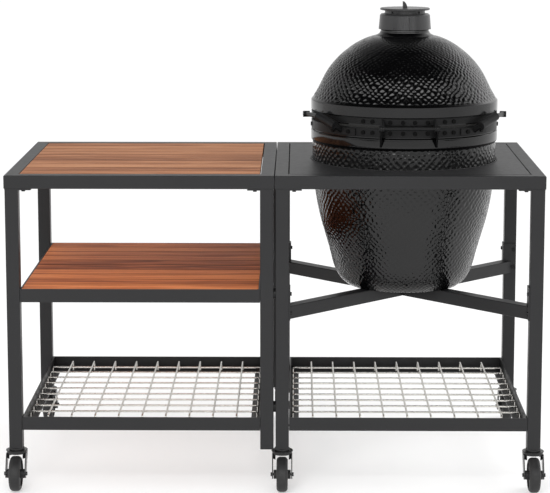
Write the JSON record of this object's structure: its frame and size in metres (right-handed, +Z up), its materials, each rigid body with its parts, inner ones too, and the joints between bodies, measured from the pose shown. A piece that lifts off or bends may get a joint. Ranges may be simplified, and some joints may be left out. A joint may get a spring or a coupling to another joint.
{
  "type": "outdoor kitchen with ceramic egg grill",
  "caption": "Rolling outdoor kitchen: a steel-tube prep table with wood top, wood shelf and wire rack, joined to a grill table holding a black ceramic egg grill with an opening lid.",
  "frame": {"origin": "On the floor, under the middle of the seam between the two tables.", "axes": "+X along the kitchen from the prep table to the grill table, +Y away from the grill's hinge, +Z up."},
  "size_m": [1.55, 0.88, 1.38],
  "materials": {
    "powder_coat": "satin charcoal powder coat",
    "deck_coat": "satin charcoal powder coat",
    "top_wood": "oiled, light orange brown",
    "shelf_wood": "oiled, red brown",
    "wire_steel": "bright drawn wire",
    "black_bolt": "black oxide",
    "castor_steel": "semi-gloss black",
    "castor_rubber": "matt",
    "glazed_ceramic": "gloss black, dimpled",
    "fired_ceramic": "matt, unglazed",
    "felt": "pressed felt",
    "band_steel": "satin black powder coat",
    "cast_iron": "seasoned black",
    "grid_steel": "brushed",
    "grip": "fine moulded grain",
    "needle": "red enamel",
    "glass": "clear"
  },
  "bodies": {
    "kitchen": {"prep_top_frame": "powder_coat", "prep_legs": "powder_coat", "prep_shelf_frame": "powder_coat", "prep_rack_frame": "powder_coat", "grill_top_frame": "powder_coat", "grill_legs": "powder_coat", "cross_beam_long": "powder_coat", "cross_beam_front": "powder_coat", "cross_beam_rear": "powder_coat", "grill_rack_frame": "powder_coat", "grill_deck_plate": "deck_coat", "prep_top_slats": "top_wood", "prep_shelf_slats": "shelf_wood", "prep_battens": "shelf_wood", "prep_wire_rack": "wire_steel", "grill_wire_rack": "wire_steel", "table_bolts": "black_bolt", "module_link_studs": "black_bolt", "lower_band_bolts": "black_bolt", "caster_stems": "castor_steel", "base": "glazed_ceramic", "firebox": "fired_ceramic", "fire_ring": "fired_ceramic", "base_gasket": "felt", "lower_strap": "band_steel", "lower_hinge_bracket": "band_steel", "hinge_pin": "band_steel", "side_brackets": "band_steel", "charcoal_grate": "cast_iron", "cooking_grid": "grid_steel", "draft_frame": "grid_steel"},
    "lid": {"dome": "glazed_ceramic", "lid_gasket": "felt", "upper_strap": "band_steel", "bead_band": "band_steel", "upper_hinge_bracket": "band_steel", "upper_band_bolts": "black_bolt", "lid_handle_frame": "band_steel", "lid_handle_grip": "grip", "thermometer_case": "grid_steel", "thermometer_glass": "glass", "chimney_cap": "cast_iron"},
    "vent": {"vent_disc": "cast_iron"},
    "draft_door": {"draft_door": "grid_steel"},
    "draft_screen": {"draft_screen": "grid_steel"},
    "needle": {"thermometer_needle": "needle"},
    "fork_prep_front": {"caster_fork_prep_front": "castor_steel"},
    "wheel_prep_front": {"caster_wheel_prep_front": "castor_rubber"},
    "fork_prep_rear": {"caster_fork_prep_rear": "castor_steel"},
    "wheel_prep_rear": {"caster_wheel_prep_rear": "castor_rubber"},
    "fork_grill_inner_front": {"caster_fork_grill_inner_front": "castor_steel"},
    "wheel_grill_inner_front": {"caster_wheel_grill_inner_front": "castor_rubber"},
    "fork_grill_inner_rear": {"caster_fork_grill_inner_rear": "castor_steel"},
    "wheel_grill_inner_rear": {"caster_wheel_grill_inner_rear": "castor_rubber"},
    "fork_grill_outer_front": {"caster_fork_grill_outer_front": "castor_steel"},
    "wheel_grill_outer_front": {"caster_wheel_grill_outer_front": "castor_rubber"},
    "fork_grill_outer_rear": {"caster_fork_grill_outer_rear": "castor_steel"},
    "wheel_grill_outer_rear": {"caster_wheel_grill_outer_rear": "castor_rubber"}
  },
  "joints": [
    {"name": "lid_hinge", "type": "hinge", "parent": "kitchen", "child": "lid", "pos_m": [0.382, -0.305, 1.036], "axis": [1, 0, 0], "range_deg": [0, 75]},
    {"name": "vent_turn", "type": "hinge", "parent": "lid", "child": "vent", "pos_m": [0.382, 0, 1.355], "axis": [0, 0, 1], "range_deg": [0, 30]},
    {"name": "draft_door_slide", "type": "slide", "parent": "kitchen", "child": "draft_door", "axis": [1, 0, 0], "range_m": [0, 0.104]},
    {"name": "draft_screen_slide", "type": "slide", "parent": "kitchen", "child": "draft_screen", "axis": [1, 0, 0], "range_m": [0, 0.104]},
    {"name": "needle_turn", "type": "hinge", "parent": "lid", "child": "needle", "pos_m": [0.382, 0.24167, 1.15009], "axis": [0, 0.8951, 0.4459], "range_deg": [-250, 0]},
    {"name": "swivel_prep_front", "type": "hinge", "parent": "kitchen", "child": "fork_prep_front", "pos_m": [-0.742, -0.36, 0.11], "axis": [0, 0, 1], "continuous": true},
    {"name": "roll_prep_front", "type": "hinge", "parent": "fork_prep_front", "child": "wheel_prep_front", "pos_m": [-0.742, -0.39, 0.05], "axis": [1, 0, 0], "continuous": true},
    {"name": "swivel_prep_rear", "type": "hinge", "parent": "kitchen", "child": "fork_prep_rear", "pos_m": [-0.742, 0.36, 0.11], "axis": [0, 0, 1], "continuous": true},
    {"name": "roll_prep_rear", "type": "hinge", "parent": "fork_prep_rear", "child": "wheel_prep_rear", "pos_m": [-0.742, 0.39, 0.05], "axis": [1, 0, 0], "continuous": true},
    {"name": "swivel_grill_inner_front", "type": "hinge", "parent": "kitchen", "child": "fork_grill_inner_front", "pos_m": [0.022, -0.36, 0.11], "axis": [0, 0, 1], "continuous": true},
    {"name": "roll_grill_inner_front", "type": "hinge", "parent": "fork_grill_inner_front", "child": "wheel_grill_inner_front", "pos_m": [0.022, -0.39, 0.05], "axis": [1, 0, 0], "continuous": true},
    {"name": "swivel_grill_inner_rear", "type": "hinge", "parent": "kitchen", "child": "fork_grill_inner_rear", "pos_m": [0.022, 0.36, 0.11], "axis": [0, 0, 1], "continuous": true},
    {"name": "roll_grill_inner_rear", "type": "hinge", "parent": "fork_grill_inner_rear", "child": "wheel_grill_inner_rear", "pos_m": [0.022, 0.39, 0.05], "axis": [1, 0, 0], "continuous": true},
    {"name": "swivel_grill_outer_front", "type": "hinge", "parent": "kitchen", "child": "fork_grill_outer_front", "pos_m": [0.742, -0.36, 0.11], "axis": [0, 0, 1], "continuous": true},
    {"name": "roll_grill_outer_front", "type": "hinge", "parent": "fork_grill_outer_front", "child": "wheel_grill_outer_front", "pos_m": [0.742, -0.39, 0.05], "axis": [1, 0, 0], "continuous": true},
    {"name": "swivel_grill_outer_rear", "type": "hinge", "parent": "kitchen", "child": "fork_grill_outer_rear", "pos_m": [0.742, 0.36, 0.11], "axis": [0, 0, 1], "continuous": true},
    {"name": "roll_grill_outer_rear", "type": "hinge", "parent": "fork_grill_outer_rear", "child": "wheel_grill_outer_rear", "pos_m": [0.742, 0.39, 0.05], "axis": [1, 0, 0], "continuous": true}
  ]
}
